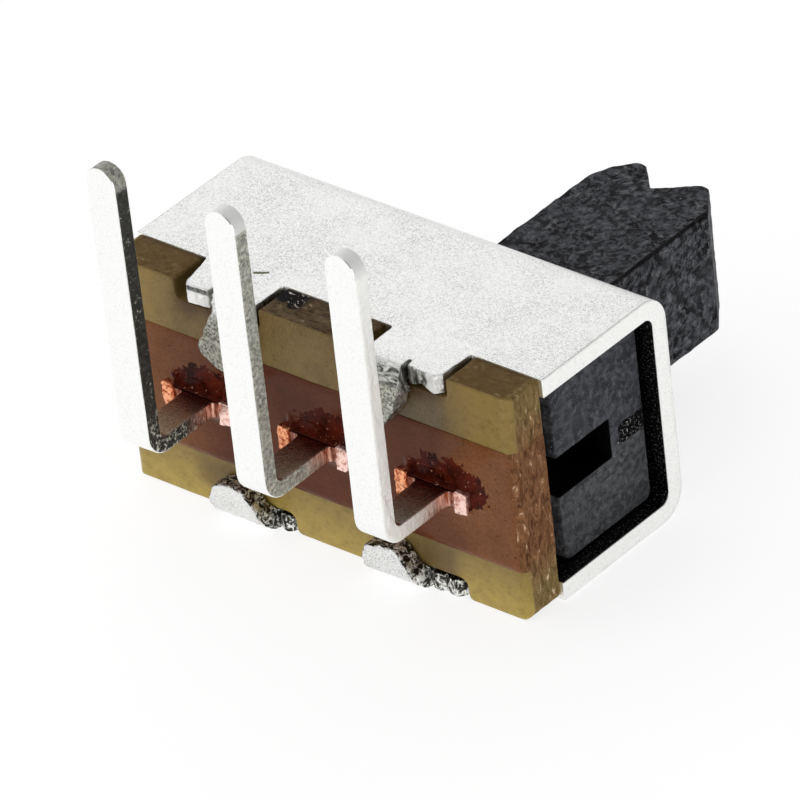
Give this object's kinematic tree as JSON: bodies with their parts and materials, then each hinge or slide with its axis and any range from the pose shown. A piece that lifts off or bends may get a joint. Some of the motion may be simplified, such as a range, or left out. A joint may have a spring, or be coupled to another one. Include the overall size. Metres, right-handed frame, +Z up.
{
  "type": "slide switch",
  "caption": "Miniature right-angle slide switch: folded tinned-steel shell crimped over a phenolic base with bent blade terminals, and a black slider whose ridged handle moves along a slot.",
  "frame": {"origin": "middle of the shell's lower face, on which the switch lies", "axes": "+X along the slide toward the end where the slider rests, +Y out along the handle, +Z up along the terminals' upright legs"},
  "size_m": [0.0086, 0.0097, 0.0074],
  "materials": {
    "tinned_steel": "satin",
    "phenolic": "satin",
    "red_resin": "gloss",
    "plated_terminal": "satin",
    "black_plastic": "matte",
    "contact_metal": "satin"
  },
  "bodies": {
    "housing": {"shell": "tinned_steel", "base_plate": "phenolic", "seal_resin": "red_resin", "terminal_left": "plated_terminal", "terminal_common": "plated_terminal", "terminal_right": "plated_terminal"},
    "slider_body": {"slider": "black_plastic", "contact_clip": "contact_metal"}
  },
  "joints": [
    {"name": "slide", "type": "slide", "parent": "housing", "child": "slider_body", "axis": [1, 0, 0], "range_m": [-0.0025, 0]}
  ]
}
